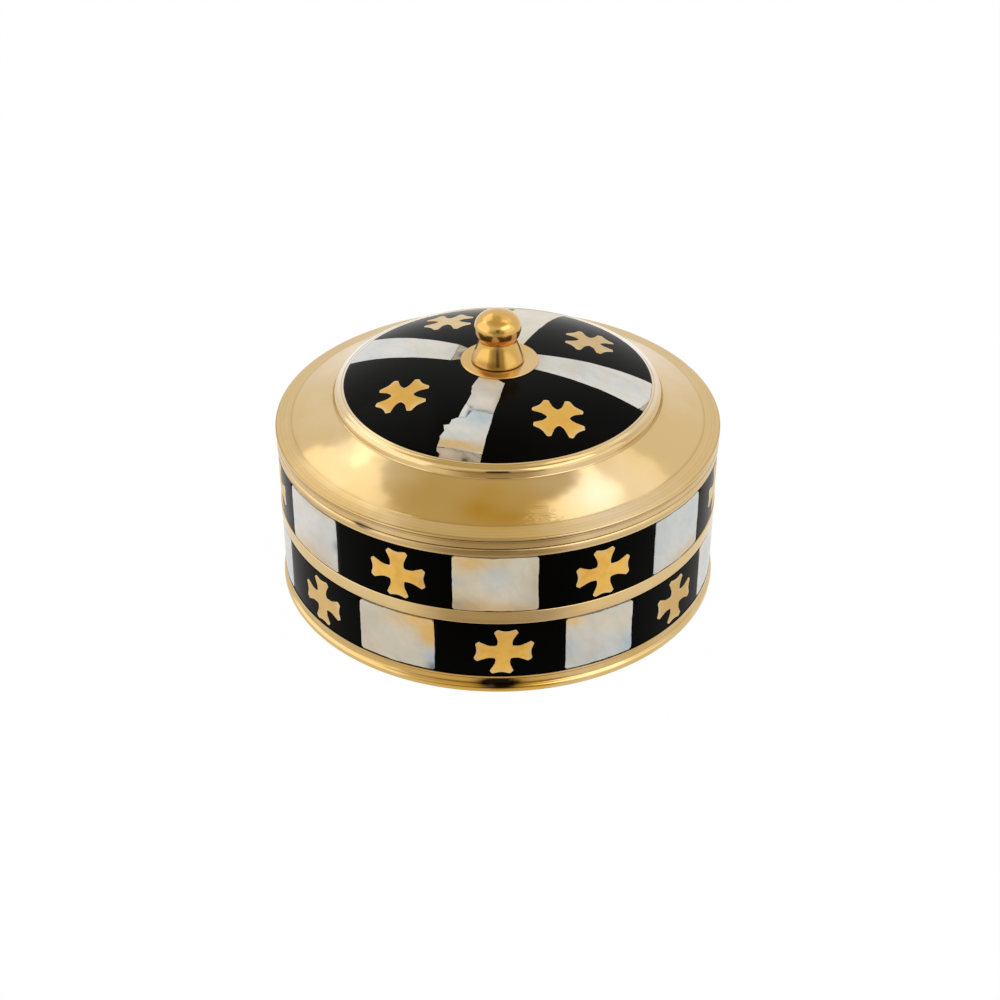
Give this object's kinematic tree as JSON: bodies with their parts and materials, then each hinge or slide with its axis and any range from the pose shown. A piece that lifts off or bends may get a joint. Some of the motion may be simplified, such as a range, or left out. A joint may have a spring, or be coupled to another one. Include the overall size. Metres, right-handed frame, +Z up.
{
  "type": "lidded incense box",
  "caption": "Round brass incense box with a lift-off domed lid, a turned knob, and bands of mother-of-pearl tiles and brass crosses set in black resin.",
  "frame": {"origin": "centre of the foot's underside, on the turning axis", "axes": "+Z up through the knob, -Y towards the picture's viewer, +X to that viewer's right"},
  "size_m": [0.0902, 0.0904, 0.0596],
  "materials": {
    "brass_polished": "polished, with faint turning marks and patches of tarnish",
    "brass_knob": "brightly polished, deeper gold",
    "brass_cross": "flat, satin",
    "black_resin": "glossy black resin, rubbed down flush",
    "mother_of_pearl": "glossy nacre with cloudy cream, blue-grey and pink patches",
    "grey_shell": "duller grey-brown shell with fine growth lines"
  },
  "bodies": {
    "box": {"foot_ring": "brass_polished", "base_plate": "brass_polished", "box_wall": "brass_polished", "middle_ring": "brass_polished", "top_ring": "brass_polished", "upper_resin_band": "black_resin", "lower_resin_band": "black_resin", "upper_pearl_tile_1": "mother_of_pearl", "upper_pearl_tile_2": "mother_of_pearl", "upper_pearl_tile_3": "mother_of_pearl", "upper_pearl_tile_4": "mother_of_pearl", "upper_pearl_tile_5": "mother_of_pearl", "upper_pearl_tile_6": "mother_of_pearl", "upper_pearl_tile_7": "mother_of_pearl", "lower_pearl_tile_1": "mother_of_pearl", "lower_pearl_tile_2": "mother_of_pearl", "lower_pearl_tile_3": "mother_of_pearl", "lower_pearl_tile_4": "mother_of_pearl", "lower_pearl_tile_5": "mother_of_pearl", "lower_pearl_tile_6": "mother_of_pearl", "lower_pearl_tile_7": "mother_of_pearl", "upper_cross_1": "brass_cross", "upper_cross_2": "brass_cross", "upper_cross_3": "brass_cross", "upper_cross_4": "brass_cross", "upper_cross_5": "brass_cross", "upper_cross_6": "brass_cross", "upper_cross_7": "brass_cross", "lower_cross_1": "brass_cross", "lower_cross_2": "brass_cross", "lower_cross_3": "brass_cross", "lower_cross_4": "brass_cross", "lower_cross_5": "brass_cross", "lower_cross_6": "brass_cross", "lower_cross_7": "brass_cross"},
    "lid": {"lid_shell": "brass_polished", "lid_resin_front_right": "black_resin", "lid_resin_back_right": "black_resin", "lid_resin_back_left": "black_resin", "lid_resin_front_left": "black_resin", "lid_cross_front_right": "brass_cross", "lid_cross_back_right": "brass_cross", "lid_cross_back_left": "brass_cross", "lid_cross_front_left": "brass_cross", "front_pearl_inner": "mother_of_pearl", "front_pearl_chip": "mother_of_pearl", "front_pearl_middle": "mother_of_pearl", "right_pearl_strip": "mother_of_pearl", "back_pearl_strip": "mother_of_pearl", "left_pearl_strip": "mother_of_pearl", "front_pearl_end": "grey_shell", "right_pearl_sliver": "grey_shell", "left_pearl_inner": "grey_shell", "knob_collar": "brass_knob", "knob": "brass_knob", "knob_screw": "brass_polished", "screw_washer": "brass_polished"}
  },
  "joints": [
    {"name": "lid_lift", "type": "slide", "parent": "box", "child": "lid", "axis": [0, 0, 1], "range_m": [0, 0.06]}
  ]
}
